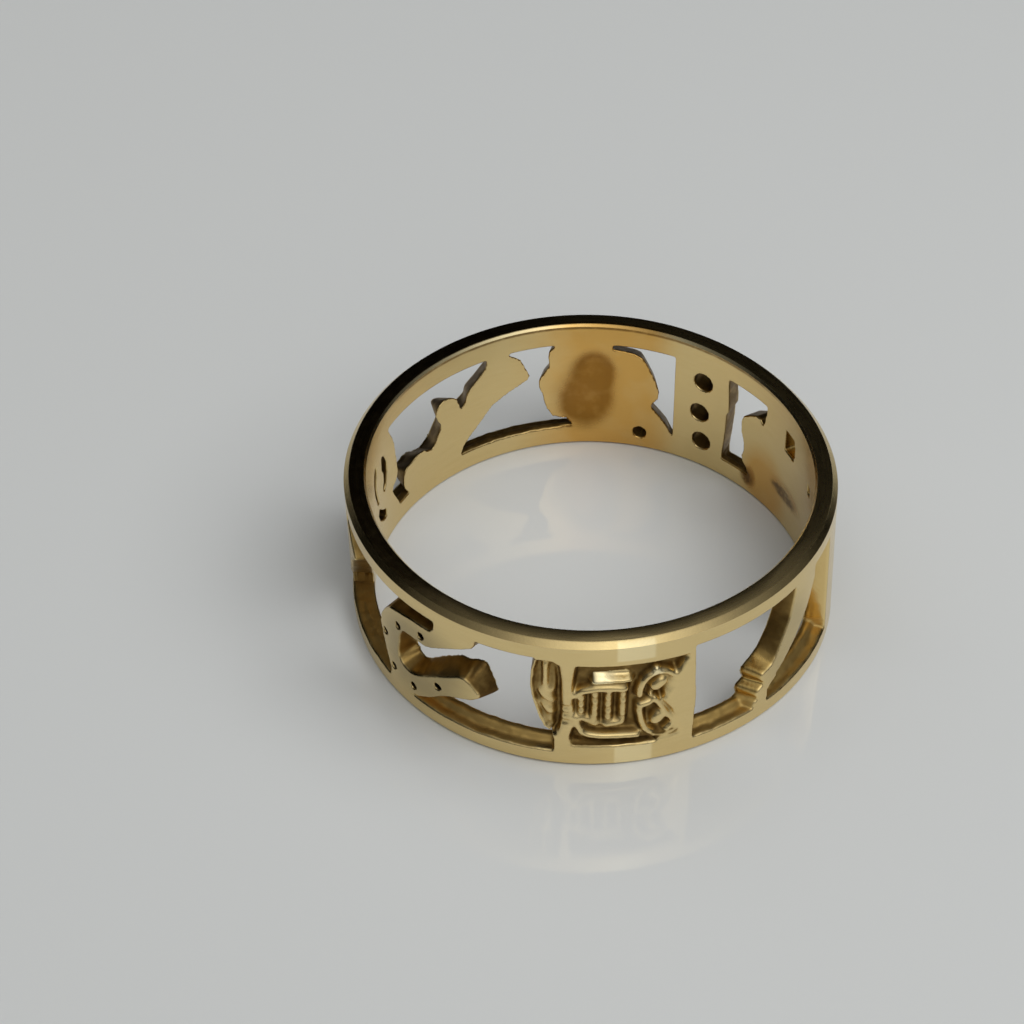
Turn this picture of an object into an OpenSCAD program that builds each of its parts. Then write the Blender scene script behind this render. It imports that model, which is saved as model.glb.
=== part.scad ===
// Cast band ring: two plain rails with a row of pierced lucky charms between them, all one piece of metal.
// The ring lies on its bottom rim, its axis is Z and its origin is the middle of the bottom.
// It starts as a plain band. The gaps round the charms are cut through it, then the relief and the holes.
// Angles run anticlockwise seen from above: 0 is right, 90 the back, 180 left and 270 the front.

/* [Ring] */
// Inside diameter, the finger size
finger_d = 17.36; // [15:0.1:21]
// Thickness of the wall
wall = 0.87; // [0.8:0.01:1.1]
// Height of the band
band_h = 6.4; // [6:0.1:7]

/* [Rails] */
// Height of the top rail at the inner wall
top_rail_in = 1.05; // [0.95:0.01:1.1]
// Height of the top rail at the outer wall
top_rail_out = 0.87; // [0.75:0.01:0.95]
// Height of the raised lip of the bottom rail, at the inner wall
bottom_rail_in = 0.96; // [0.85:0.01:1]
// Height of the bottom rail outside its lip
bottom_rail_out = 0.7; // [0.6:0.01:0.75]
// Width of the lip
lip_w = 0.42; // [0.3:0.01:0.5]
// Bevel at the outer top edge
outer_bevel = 0.2; // [0.1:0.01:0.25]
// Bevel at the other three edges
small_bevel = 0.1; // [0.05:0.01:0.12]

/* [Relief] */
// How far the ground of the relief panel lies under the outer wall
ground_depth = 0.42; // [0.3:0.01:0.5]
// How far the barrel and the ribbon stay under the outer wall
relief_depth = 0.06; // [0.03:0.01:0.1]
// How far the leaf stays under the outer wall
leaf_depth = 0.14; // [0.1:0.01:0.2]
// Depth of the nail holes in the horseshoe
nail_depth = 0.4; // [0.2:0.01:0.5]
// Diameter of the nail holes
nail_d = 0.34; // [0.25:0.01:0.4]
// Diameter of the piercings in the domino
pip_d = 0.86; // [0.6:0.01:0.9]
// Depth of the hollow behind the clover
hollow_depth = 0.24; // [0.15:0.01:0.3]

/* [Hidden] */
$fn = 96;
inner_r = finger_d / 2;
outer_r = inner_r + wall;
// The heights in the outlines are drawn on a band this high, and are stretched to band_h.
drawn_h = 6.4;
mid_h = drawn_h / 2;
stretch = band_h / drawn_h;
// How far the charms reach into the rails, in drawn height.
root_low = 0.35;
root_high = 5.85;
// Every cut runs this far past the wall.
over = 0.3;
// Ends of the radial prisms, inside and outside the wall.
near_r = 0.7 * inner_r;
far_r = outer_r + 2 * over;

// Outlines are lists of [angle, height] on the wall, anticlockwise or clockwise.
horseshoe_outline = [
    [243, root_high], [242.7, 5.3], [242.2, 5.1], [239.5, 4.83], [236.5, 4.58], [233.5, 4.3], [231, 4.05],
    [229, 3.93], [225, 3.95], [221.6, 3.85], [220.3, 3.45], [219.8, 2.95], [219.3, 2.5], [219.6, 2.15],
    [220.9, 1.93], [223.2, 1.83], [225.3, 1.9], [228, 2.14], [232.3, 2.61], [236.1, 2.98], [239, 3.27],
    [240.1, 3.28], [241.1, 3.15], [242.2, 2.96], [243.7, 2.75], [243.6, 2.55], [241.6, 2.3], [239, 2.14],
    [236, 1.95], [233.4, 1.7], [230, 1.24], [226.6, 0.9], [223.6, 0.76], [220.6, 0.68], [220.4, root_low],
    [215.6, root_low], [215.9, 1.19], [215.1, 1.53], [214.2, 2.04], [213.2, 2.64], [212.4, 3.17],
    [212.9, 3.66], [214.5, 4.1], [216.9, 4.5], [221.1, 4.72], [224.8, 4.85], [228.3, 4.9], [230.7, 4.9],
    [231.7, 5.05], [232.3, root_high]];
nail_places = [[214.4, 2.9], [219.9, 3.9], [227.8, 4.31], [217.3, 1.38], [224.6, 1.23], [232.5, 2.12]];

panel_outline = [
    [258, root_high], [257.2, 5.4], [256.4, 4.8], [256.2, 4.05], [256.7, 3.45], [257.5, 2.88], [258.4, 2.38],
    [259.4, 2], [260.9, 1.8], [261.7, 1.3], [261.8, root_low], [293.1, root_low], [293.2, 1], [293.5, 2.1],
    [293.7, 2.9], [293.4, 3.8], [293.3, 4.6], [292.9, root_high]];
// The leaf lies left of the post; its hollow is cut deeper than its blade.
leaf_outline = [
    [254.5, 5.3], [260.9, 5.3], [261.8, 4.6], [262.2, 3.7], [262.2, 3], [261.8, 2.3], [261.2, 1.5],
    [254.5, 1.5]];
leaf_hollow_outline = [
    [257.8, 5.15], [256.9, 4.65], [256.8, 4.25], [257.2, 3.9], [258.8, 4.05], [261.2, 3.75], [261.3, 4.5],
    [260.7, 5.15]];
leaf_ridge_outline = [[259.2, 5.2], [258.9, 3.8], [260.2, 3.8], [260, 5.2]];
leaf_vein = [[257.2, 3.1], [259.2, 3.45], [261.4, 3.3], [261.4, 3.15], [259.2, 3.28], [257.3, 2.95]];

// The ground between the post and the plain corner, and the forms that stand on it.
ground_outline = [
    [265.8, 5.27], [265.4, 4.8], [265.1, 4.34], [265, 3.7], [265.1, 3.2], [265.3, 2.8], [265.5, 2.4],
    [265.2, 1.9], [264.6, 1.4], [264.3, 1.1], [270.6, 1.05], [279.7, 1], [284.4, 1], [290.6, 1.1],
    [289.9, 1.7], [288.2, 2.55], [286, 3.09], [288.2, 3.6], [289, 4.3], [290, 4.55], [291.3, 4.95],
    [292.4, 5.27]];
barrel_top_outline = [
    [269.4, 4.6], [270.2, 4.78], [272.5, 4.85], [276, 4.82], [279, 4.72], [279.6, 4.5], [279, 4.28],
    [276, 4.34], [272.5, 4.3], [270, 4.36]];
barrel_rim_outline = [
    [265.6, 3.85], [267.4, 4.1], [270.3, 4.28], [273.8, 4.31], [276.1, 4.23], [277.7, 4.12], [277.5, 3.7],
    [274.7, 3.76], [271.5, 3.78], [267.4, 3.78], [265.7, 3.58]];
barrel_cup_outline = [
    [268.6, 2.54], [269.2, 2.18], [271.1, 1.96], [274, 1.9], [276.5, 1.93], [277.4, 2.2], [277.9, 2.6]];
barrel_foot_outline = [
    [265.6, 2.6], [266.5, 2], [268.6, 1.58], [271.8, 1.42], [276.6, 1.4], [280.4, 1.44], [280.4, 1.72],
    [276.6, 1.74], [271.8, 1.78], [269.2, 1.95], [267.6, 2.28], [267, 2.6]];
// Left edges of the ribs of the barrel.
rib_angles = [266.2, 269.6, 272.6, 276];
rib_w = 1.5;
rib_low = 2.45;
rib_high = 3.9;
// Outlines of the two strands of the ribbon; its bosses are ovals, but for the upper one.
upper_strand = [
    [280, 3.5], [280, 4.1], [281, 4.5], [282.6, 4.8], [284.6, 4.92], [287, 4.8], [289.2, 4.55], [288.6, 4.35],
    [286.9, 4.5], [284.7, 4.6], [283, 4.46], [281.9, 4.18], [281.6, 3.8], [282, 3.5]];
lower_strand = [
    [280.2, 2.8], [280.2, 2.1], [281.8, 1.5], [284.8, 1.14], [288, 1.12], [290.2, 1.5], [289, 1.85],
    [287, 2.65], [285, 3.2], [283.6, 3.3], [283.8, 3], [285.6, 2.55], [287.3, 2.05], [287.9, 1.65],
    [286.6, 1.42], [284.8, 1.42], [282.9, 1.75], [281.7, 2.25], [281.5, 2.75]];
// Ovals are [angle, height, half width in degrees, half height].
relief_ovals = [[282, 2.98, 1.5, 0.26], [283, 3.38, 0.7, 0.12], [285.4, 2.15, 1.7, 0.36]];
upper_boss = [
    [285, 4.34], [287.4, 4.28], [287.4, 3.95], [286.2, 3.46], [284.3, 3.32], [283.5, 3.5], [283.6, 3.95]];

wand_outline = [
    [323.6, root_high], [323.3, 5.4], [322.4, 5], [321.2, 4.6], [320.2, 4.19], [318.8, 3.78], [317.4, 3.39],
    [316.6, 3], [315.8, 2.65], [315, 2.42], [314, 2.32], [312.6, 2.26], [312.2, 2.08], [312.6, 1.9],
    [313.4, 1.77], [313, 1.64], [311.6, 1.53], [311, 1.36], [311.2, 1.2], [311.8, 1.08], [310.6, 0.98],
    [309.6, root_low], [313.8, root_low], [314.2, 0.8], [314.4, 1.28], [315.6, 1.5], [317.2, 1.66],
    [317.2, 1.82], [318, 1.92], [319.6, 2.22], [322.3, 2.76], [324, 3.14], [325.6, 3.49], [327.8, 3.85],
    [329.3, 4.14], [331, 4.55], [331.9, 4.9], [332.3, root_high]];

plate_outline = [
    [341.2, root_high], [341, 3.7], [341, 2], [341.4, 1.05], [341.6, root_low], [399.6, root_low],
    [400, 0.95], [401, 1.3], [402.4, 1.5], [402.8, 1.8], [402.2, 2.1], [402.3, 2.6], [403.3, 3.1], [403.5, 3.6],
    [402.7, 3.95], [400.5, 4.2], [398, 4.42], [396, 4.42], [395.2, 4.2], [394.5, 4.45], [393.7, 5.1],
    [393.6, root_high]];
plate_slots = [
    [[24.7, 5.2], [24.9, 4.12], [19.8, 4.1], [19.4, 4.4], [19.2, 4.8], [19.6, 5.18]],
    [[5.8, 4.4], [8.6, 4.44], [8.4, 3.96], [6, 3.98]]];

domino_outline = [
    [65.2, root_high], [65.2, root_low], [50, root_low], [49.7, 1.1], [49.1, 2], [48.7, 2.8], [48.6, 3.45],
    [47.9, 3.6], [47.9, 4.1], [48.1, 4.6], [48.3, root_high]];
pip_places = [[56.5, 4.55], [57.3, 2.88], [56.4, 1.38]];

clover_outline = [
    [96.4, root_high], [97.6, 5.35], [99.8, 5.1], [100, 4.75], [99.7, 4.3], [101.3, 3.95], [102.6, 3.6],
    [102.5, 3.25], [101.6, 2.9], [101, 2.4], [100, 1.95], [98.6, 1.58], [96.5, 1.42], [95, 1.38],
    [93.8, 1.15], [92.5, 0.85], [92, root_low], [65, root_low], [65.4, 1.1], [66.6, 1.5], [68.5, 1.87],
    [70, 2.12], [71.5, 2.4], [70.6, 2.62], [69.5, 2.87], [69.3, 3.25], [70.3, 3.75], [71.8, 4.25],
    [73, 4.62], [74.2, 4.88], [76.5, 5.05], [79.5, 5.12], [82.2, 5.15], [82.6, root_high]];
clover_eye = [74.6, 0.95];
clover_eye_d = 0.5;
// Balls whose caps are the hollow behind the clover: angle, height, radius.
hollow_balls = [[88.6, 2.55, 2.6], [87.2, 3.9, 1.9]];

sprig_outline = [
    [117.6, root_high], [117.6, 5.25], [118.1, 4.95], [120.5, 4.55], [123.3, 4.15], [124.2, 3.95],
    [124.6, 3.65], [125.9, 3.4], [126.7, 3.8], [127.2, 4.05], [129, 4.25], [131.5, 4.33], [133.5, 4.2],
    [134.7, 3.98], [134.9, 3.7], [134.3, 3.4], [133.2, 3.15], [133.4, 2.92], [134.6, 2.65], [135.7, 2.35],
    [136.8, 2.2], [138.5, 2.3], [140, 2.45], [143, 2.5], [145.5, 2.38], [147.8, 2.36], [148.9, 2.25],
    [149.5, 2.05], [149.8, 1.62], [149.4, 1.35], [148.2, 1.08], [146.5, 0.85], [146.2, root_low],
    [126.4, root_low], [126.2, 1], [125, 1.38], [123.2, 1.68], [121, 2], [118, 2.5], [116, 2.85],
    [112, 3.22], [108.5, 3.5], [105.5, 3.75], [104.8, 3.95], [105.2, 4.1], [106.3, 4.5], [107.4, 4.9],
    [109, 5.1], [110.6, 5.25], [110.7, root_high]];

medallion_outline = [
    [156.3, root_high], [156, 5.2], [154.4, 4.77], [153.5, 4.34], [153.1, 3.87], [152.7, 3.3], [152.4, 2.7],
    [153.6, 2.35], [155.5, 2.2], [156, 2.05], [154.6, 1.66], [152.8, 1.15], [152.2, 0.8], [152, root_low],
    [180.3, root_low], [180.8, 0.8], [183, 1.2], [185.8, 1.68], [189.5, 2.5], [192, 3.2], [195, 3.75],
    [197.5, 4.02],
    [197.7, 4.2], [196, 4.45], [192.5, 4.85], [190, 5.2], [188.8, root_high]];
medallion_slots = [
    [[161.9, 4.55], [160.1, 4.4], [158.6, 3.95], [158.8, 3.5], [159.8, 2.95], [161.4, 2.7], [162, 2.9],
     [161, 3.4], [161.1, 3.7], [162.2, 3.95]],
    [[167, 4.75], [166.3, 4.45], [167.1, 4.04], [167.7, 3.6], [166.5, 2.9], [165.9, 2.6], [167.5, 2.8],
     [169.1, 3.6], [169.3, 4.07], [168.3, 4.5]],
    [[166.2, 2.35], [163.5, 1.95], [160.6, 1.66], [161, 1.32], [163.2, 1.4], [165.6, 1.68], [167, 2.1]]];

// Middle of an outline's angles.
function middle(outline) = (min([for (p = outline) p[0]]) + max([for (p = outline) p[0]])) / 2;

// Place of a point of the wall on the flat plane at near_r, seen from the middle of the ring.
function flat(p, centre) = [
    near_r * tan(p[0] - centre),
    near_r * stretch * (p[1] - mid_h) / (outer_r * cos(p[0] - centre))];

// Outline of an oval given as [angle, height, half width in degrees, half height].
function oval(o) = [for (a = [0:30:330]) [o[0] + o[2] * cos(a), o[1] + o[3] * sin(a)]];

// Outline of one rib of the barrel.
function rib(angle) = [
    [angle, rib_low], [angle + rib_w, rib_low], [angle + rib_w, rib_high], [angle, rib_high]];

// A prism that grows from the middle of the ring through the wall, with the outline as its cut.
module radial(outline) {
    centre = middle(outline);
    translate([0, 0, mid_h * stretch])
        rotate([0, 0, centre])
            rotate([90, 0, 90])
                translate([0, 0, near_r])
                    linear_extrude(height = far_r - near_r, scale = far_r / near_r)
                        polygon([for (p = outline) flat(p, centre)]);
}

// A round hole along a radius, from r_from out through the wall.
module radial_hole(place, d, r_from) {
    translate([0, 0, place[1] * stretch])
        rotate([0, 0, place[0]])
            rotate([0, 90, 0])
                translate([0, 0, r_from])
                    cylinder(h = far_r - r_from, d = d);
}

// A full cylinder that stops every cut or raised form at one depth of the wall.
module core(r) {
    translate([0, 0, -over])
        cylinder(h = band_h + 2 * over, r = r);
}

module blank_band() {
    rotate_extrude()
        polygon([
            [inner_r + small_bevel, 0],
            [outer_r - small_bevel, 0],
            [outer_r, small_bevel],
            [outer_r, band_h - outer_bevel],
            [outer_r - outer_bevel, band_h],
            [inner_r + small_bevel, band_h],
            [inner_r, band_h - small_bevel],
            [inner_r, small_bevel]]);
}

// The space between the rails, wider than the wall on both sides.
module between_rails() {
    rotate_extrude()
        polygon([
            [inner_r - over, bottom_rail_in],
            [inner_r, bottom_rail_in],
            [inner_r + lip_w, bottom_rail_out + 0.03],
            [outer_r, bottom_rail_out],
            [outer_r + over, bottom_rail_out],
            [outer_r + over, band_h - top_rail_out],
            [outer_r, band_h - top_rail_out],
            [inner_r, band_h - top_rail_in],
            [inner_r - over, band_h - top_rail_in]]);
}

module horseshoe() {
    radial(horseshoe_outline);
}

module relief_panel() {
    radial(panel_outline);
}

module wand() {
    radial(wand_outline);
}

module pierced_plate() {
    difference() {
        radial(plate_outline);
        for (slot = plate_slots)
            radial(slot);
    }
}

module domino() {
    radial(domino_outline);
}

module clover() {
    radial(clover_outline);
}

module sprig() {
    radial(sprig_outline);
}

module medallion() {
    difference() {
        radial(medallion_outline);
        for (slot = medallion_slots)
            radial(slot);
    }
}

module gaps() {
    difference() {
        between_rails();
        horseshoe();
        relief_panel();
        wand();
        pierced_plate();
        domino();
        clover();
        sprig();
        medallion();
    }
}

module barrel() {
    radial(barrel_top_outline);
    radial(barrel_rim_outline);
    radial(barrel_cup_outline);
    radial(barrel_foot_outline);
    for (angle = rib_angles)
        radial(rib(angle));
}

module ribbon() {
    radial(upper_strand);
    radial(lower_strand);
    radial(upper_boss);
    for (o = relief_ovals)
        radial(oval(o));
}

// What is cut away round the barrel and the ribbon.
module relief_ground() {
    difference() {
        radial(ground_outline);
        core(outer_r - ground_depth);
        intersection() {
            core(outer_r - relief_depth);
            union() {
                barrel();
                ribbon();
            }
        }
    }
}

// What is cut away over the leaf.
module leaf_face() {
    difference() {
        radial(leaf_outline);
        core(outer_r - leaf_depth);
    }
    difference() {
        union() {
            radial(leaf_hollow_outline);
            radial(leaf_vein);
        }
        core(outer_r - ground_depth);
        intersection() {
            core(outer_r - 2 * leaf_depth);
            radial(leaf_ridge_outline);
        }
    }
}

module holes() {
    for (place = nail_places)
        radial_hole(place, nail_d, outer_r - nail_depth);
    for (place = pip_places)
        radial_hole(place, pip_d, near_r);
    radial_hole(clover_eye, clover_eye_d, near_r);
}

module clover_hollow() {
    for (ball = hollow_balls)
        rotate([0, 0, ball[0]])
            translate([inner_r + hollow_depth - ball[2], 0, ball[1] * stretch])
                sphere(r = ball[2]);
}

module charm_band() {
    color("darkkhaki")
        difference() {
            blank_band();
            gaps();
            relief_ground();
            leaf_face();
            holes();
            clover_hollow();
        }
}

charm_band();
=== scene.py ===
# %% [markdown]
# # A pierced band ring with a row of lucky charms
# The real ring is cast in one piece of yellow gold: two plain rails, and between them a row of charms with
# daylight round them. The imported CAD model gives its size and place. Here the same ring is modelled again
# with the softened edges, the low relief and the worn finish that a construction solid doesn't carry.
# Everything is modelled in millimetres and brought to metres at the very end. In metres the remesh modifier
# would stop at a tenth of a millimetre, which is too coarse for the relief.

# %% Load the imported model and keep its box
import math
import bpy
import numpy as np
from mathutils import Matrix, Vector, kdtree, noise


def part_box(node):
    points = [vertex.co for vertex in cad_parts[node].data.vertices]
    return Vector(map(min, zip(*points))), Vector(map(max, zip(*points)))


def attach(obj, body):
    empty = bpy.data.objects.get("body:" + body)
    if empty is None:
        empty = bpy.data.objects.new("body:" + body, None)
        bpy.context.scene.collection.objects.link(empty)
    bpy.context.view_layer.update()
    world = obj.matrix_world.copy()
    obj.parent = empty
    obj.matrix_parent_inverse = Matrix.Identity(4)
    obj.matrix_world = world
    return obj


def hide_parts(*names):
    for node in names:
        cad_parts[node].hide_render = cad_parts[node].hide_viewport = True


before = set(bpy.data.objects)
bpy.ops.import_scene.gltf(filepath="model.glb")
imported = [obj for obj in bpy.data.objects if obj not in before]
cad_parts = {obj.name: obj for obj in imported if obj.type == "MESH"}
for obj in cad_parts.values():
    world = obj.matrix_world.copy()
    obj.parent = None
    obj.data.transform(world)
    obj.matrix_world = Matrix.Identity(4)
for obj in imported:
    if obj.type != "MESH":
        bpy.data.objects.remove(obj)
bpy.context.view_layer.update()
BAND = "charm_band"
low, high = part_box(BAND)
PER_METRE = 1000
OUTER = PER_METRE * (high[0] - low[0]) / 2
HEIGHT = PER_METRE * (high[2] - low[2])
WALL = 0.87
INNER = OUTER - WALL
PER_DEGREE = math.radians(OUTER)
print(f"band {2 * OUTER:.2f} mm across and {HEIGHT:.2f} mm high, {PER_DEGREE:.3f} mm to a degree")

# %% [markdown]
# ## The camera
# The photo looks down at the ring from about 43 degrees with a long lens, so the rims are nearly true
# ellipses. The place and the lens come from fitting those ellipses, which is surer than turning the camera
# by eye.

# %% Place the camera
CAMERA_PLACE = (-0.002989, -0.083109, 0.080668)
LOOKS_DOWN = 42.654
LENS = 101.74
bpy.ops.object.camera_add(location=CAMERA_PLACE, rotation=(math.radians(90 - LOOKS_DOWN), 0, 0))
camera = bpy.context.object
camera.name = "camera"
camera.data.lens = LENS
camera.data.clip_start = 0.001
bpy.context.scene.camera = camera
print("lens", LENS, "mm, looking down", LOOKS_DOWN, "degrees")

# %% [markdown]
# ## Small helpers
# Blender's operators act on whatever is selected, and the loaded nodes are selected at the start. So every
# step begins by selecting one object alone. A modifier is added and applied in one go, as by hand. Points
# are read and written all at once, which is faster than one by one.

# %% Select one object, edit it, apply a modifier
def only(thing):
    bpy.ops.object.select_all(action="DESELECT")
    thing.select_set(True)
    bpy.context.view_layer.objects.active = thing


def edit(thing):
    """Opens a piece in edit mode with everything selected."""
    only(thing)
    bpy.ops.object.mode_set(mode="EDIT")
    bpy.ops.mesh.select_all(action="SELECT")


def clean(thing, merge=0.0):
    """Merges points that lie closer together than merge, and turns every face outwards."""
    edit(thing)
    if merge:
        bpy.ops.mesh.remove_doubles(threshold=merge)
    bpy.ops.mesh.normals_make_consistent()
    bpy.ops.object.mode_set(mode="OBJECT")


def apply_modifier(thing, kind, **values):
    only(thing)
    bpy.ops.object.modifier_add(type=kind)
    modifier = thing.modifiers[-1]
    for key, value in values.items():
        setattr(modifier, key, value)
    bpy.ops.object.modifier_apply(modifier=modifier.name)


def values_of(items, name, width, kind=float):
    """A property of all points, edges, faces or corners, as rows of numbers."""
    flat = np.empty(width * len(items), dtype=kind)
    items.foreach_get(name, flat)
    return flat.reshape(-1, width)


def points_of(thing):
    return values_of(thing.data.vertices, "co", 3)


def set_points(thing, points):
    thing.data.vertices.foreach_set("co", np.asarray(points, dtype=float).ravel())
    thing.data.update()


# %% [markdown]
# ## Unrolled drawing
# It is easiest to draw the charms on a flat strip, as a goldsmith pierces sheet before bending it: across
# the strip runs the angle round the ring, up the strip the height. Each charm is a filled outline, extruded
# by the wall's thickness, cut into narrow slices and then bent round the finger. The slices make the bend
# smooth.

# %% Bend flat pieces round the ring
SLICE = 2.0


def bend(thing):
    """Turns x along the strip, y up it and z out of it into the round band."""
    flat = points_of(thing)
    turn = flat[:, 0] / OUTER
    radius = OUTER + flat[:, 2]
    set_points(thing, np.column_stack([radius * np.cos(turn), radius * np.sin(turn), flat[:, 1]]))


def slices(thing):
    """Cuts a flat piece across the strip, so that it can bend."""
    across = points_of(thing)[:, 0] / PER_DEGREE / SLICE
    edit(thing)
    bpy.ops.mesh.quads_convert_to_tris()
    for k in range(math.ceil(across.min()), math.floor(across.max()) + 1):
        bpy.ops.mesh.select_all(action="SELECT")
        bpy.ops.mesh.bisect(plane_co=(k * SLICE * PER_DEGREE, 0, 0), plane_no=(1, 0, 0))
    bpy.ops.object.mode_set(mode="OBJECT")
    clean(thing)


# %% [markdown]
# ## A charm from two outlines
# A cast charm isn't cut straight through: it is a little larger at the inside of the wall, so that it
# leaves its mould. So each outline has a spread, the distance by which its inner copy stands out. Where the
# photo shows both edges of a side wall, the inner place is written out. An inset with a depth would do the
# same for a plain shape, but on narrow places such as the collars it folds over itself.

# %% Model one charm on the strip
def spread_out(outline, spread):
    """Moves each point of a closed outline outwards by its own distance."""
    flat = np.array(outline, dtype=float) * (PER_DEGREE, 1)
    turning = flat[:, 0] * np.roll(flat[:, 1], -1) - np.roll(flat[:, 0], -1) * flat[:, 1]
    side = 1 if turning.sum() > 0 else -1
    ahead = np.roll(flat, -1, axis=0) - flat
    ahead /= np.linalg.norm(ahead, axis=1)[:, None]
    normal = side * np.column_stack([ahead[:, 1], -ahead[:, 0]])
    both = normal + np.roll(normal, 1, axis=0)
    # at a sharp spike the two sides nearly cancel out, and the point moves less
    length = np.maximum(np.linalg.norm(both, axis=1), 0.9)
    moved = flat + both / length[:, None] * np.reshape(spread, (-1, 1))
    return moved / (PER_DEGREE, 1)


def charm(name, rows, spread, from_inside=False):
    """Makes a charm from rows of [angle, height] or [angle, height, inner angle, inner height]."""
    drawn = [row[:2] for row in rows]
    other = spread_out(drawn, -np.array(spread) if from_inside else spread)
    for k, row in enumerate(rows):
        if len(row) == 4:
            other[k] = row[2:]
    outside, inside = (other, drawn) if from_inside else (drawn, other)
    bpy.ops.mesh.primitive_circle_add(vertices=len(rows), radius=1, fill_type="NGON")
    piece = bpy.context.object
    piece.name = name
    set_points(piece, [(a * PER_DEGREE, z, 0) for a, z in outside])
    edit(piece)
    bpy.ops.mesh.extrude_region_move(TRANSFORM_OT_translate={"value": (0, 0, -WALL)})
    bpy.ops.object.mode_set(mode="OBJECT")
    points = points_of(piece)
    for (a, z), (inner_a, inner_z) in zip(outside, inside):
        here = np.hypot(points[:, 0] - a * PER_DEGREE, points[:, 1] - z) < 1e-4
        points[here & (points[:, 2] < -WALL / 2)] = (inner_a * PER_DEGREE, inner_z, -WALL)
    set_points(piece, points)
    clean(piece)
    return piece


# %% [markdown]
# ## Holes
# Round holes are drilled and slots are sawn while the piece is still flat, where a cutter goes straight
# through. Each cutter is a solid that a Boolean takes away. A hole in the inside of a bend gets narrower
# across the strip, so a cutter for such a hole is a little wide.

# %% Drill and saw
PAST = 0.3


def cut(piece, cutter, operation="DIFFERENCE"):
    """Takes the cutter away from a piece, or keeps what lies in both."""
    apply_modifier(piece, "BOOLEAN", operation=operation, object=cutter, solver="EXACT")
    bpy.data.objects.remove(cutter)


def drill(piece, angle, height, diameter, reach=WALL + PAST, wide=1.0):
    bpy.ops.mesh.primitive_cylinder_add(
        vertices=24, radius=diameter / 2, depth=reach + PAST,
        location=(angle * PER_DEGREE, height, (PAST - reach) / 2))
    cutter = bpy.context.object
    cutter.scale = (wide, 1, 1)
    only(cutter)
    bpy.ops.object.transform_apply()
    cut(piece, cutter)


def through(cutter):
    """Makes a flat cutter longer than the wall is thick."""
    points = points_of(cutter)
    points[:, 2] = np.where(points[:, 2] > -WALL / 2, PAST, -WALL - PAST)
    set_points(cutter, points)


def saw(piece, rows, spread):
    cutter = charm("cutter", rows, spread=-spread, from_inside=True)
    through(cutter)
    cut(piece, cutter)


# %% [markdown]
# ## Front charms
# The horseshoe lies on its side and opens to the right. Its upper arm runs into the top rail and its bow into
# the bottom rail. The slanted wand at the right ends in two collars above a foot. Both are measured on the
# outside of the band, because that is the face that the photo shows.

# %% Horseshoe and wand
LOW, HIGH = 0.35, 5.95
horseshoe = charm("horseshoe", [
    [243.2, HIGH], [242.7, 5.3], [242.2, 5.1], [239.5, 4.83], [236.5, 4.58], [233.5, 4.3], [231, 4.05],
    [229, 3.93], [225, 3.95], [221.6, 3.85], [220.3, 3.45], [219.8, 2.95], [219.3, 2.5],
    [219.6, 2.15, 221.6, 2.45], [220.9, 1.93, 222, 2.25], [223.2, 1.83, 223.6, 2.15],
    [225.3, 1.9, 225.6, 2.3], [228, 2.14, 228.2, 2.67], [232.3, 2.61, 232.2, 3.15],
    [236.1, 2.98, 236.2, 3.57], [239, 3.27, 238.9, 3.6], [240.1, 3.28, 240.8, 3.75],
    [241.1, 3.15, 242.6, 3.82], [242.2, 2.96, 243.9, 3.76], [243, 2.82, 244.9, 3.35],
    [243.7, 2.75, 245.8, 2.95], [243.6, 2.55, 246.7, 2.45], [241.6, 2.3, 245, 2.15],
    [239, 2.14, 240.8, 1.98], [236, 1.95], [233.4, 1.7], [230, 1.24], [226.6, 0.9], [223.6, 0.76],
    [220.6, 0.68], [220.4, LOW], [215.6, LOW], [215.9, 1.19], [215.1, 1.53], [214.2, 2.04], [213.2, 2.64],
    [212.4, 3.17], [212.9, 3.66], [214.5, 4.1], [216.9, 4.5], [221.1, 4.72], [224.8, 4.85], [228.3, 4.9],
    [230.7, 4.9], [231.7, 5.05], [232.3, HIGH]], spread=0.2)
wand = charm("wand", [
    [323.6, HIGH], [323.3, 5.4, 322.4, 5.2], [322.7, 5, 321.8, 4.7], [322.2, 4.6, 321, 4.2],
    [321.6, 4.19, 320, 3.84], [320.2, 3.76, 318.6, 3.45], [318.9, 3.36, 317.2, 3.14],
    [317.8, 2.98, 316, 2.88], [316.7, 2.65, 314.8, 2.72], [315.6, 2.42, 313.4, 2.56],
    [314, 2.32, 311.9, 2.46], [312.6, 2.26, 310.4, 2.32], [312.2, 2.08, 309.9, 2.12],
    [312.6, 1.9, 310.1, 1.93], [313.4, 1.77, 310.7, 1.79], [313, 1.64, 310.3, 1.66],
    [311.6, 1.53, 308.7, 1.56], [311, 1.36, 308.1, 1.38], [311.2, 1.2, 308.3, 1.21],
    [311.8, 1.08, 308.7, 1.07], [310.6, 0.98, 307.4, 0.93], [309.6, LOW], [313.8, LOW], [314.2, 0.8],
    [314.4, 1.28], [315.6, 1.5], [317.2, 1.66], [317.2, 1.82], [318.2, 1.92], [320, 2.18], [323.1, 2.7],
    [325.1, 3.08], [326.8, 3.42], [328.7, 3.82], [329.8, 4.14], [331, 4.55], [331.9, 4.9],
    [332.3, HIGH]], spread=0.15)
NAILS = [[214.4, 2.9], [219.9, 3.9], [227.8, 4.31], [217.3, 1.38], [224.6, 1.23], [232.5, 2.12]]
for nail in NAILS:
    drill(horseshoe, *nail, diameter=0.34, reach=0.42)
print("horseshoe", len(horseshoe.data.vertices), "points, wand", len(wand.data.vertices))

# %% [markdown]
# ## Back and side charms
# Of the charms at the back the photo shows the inside, so they are measured there and drawn in towards the
# outside. They are a clover with a stem, a domino, a long plate that wraps the right side, a slanted sprig
# and an oval medallion whose nose reaches round to the left front.

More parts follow.
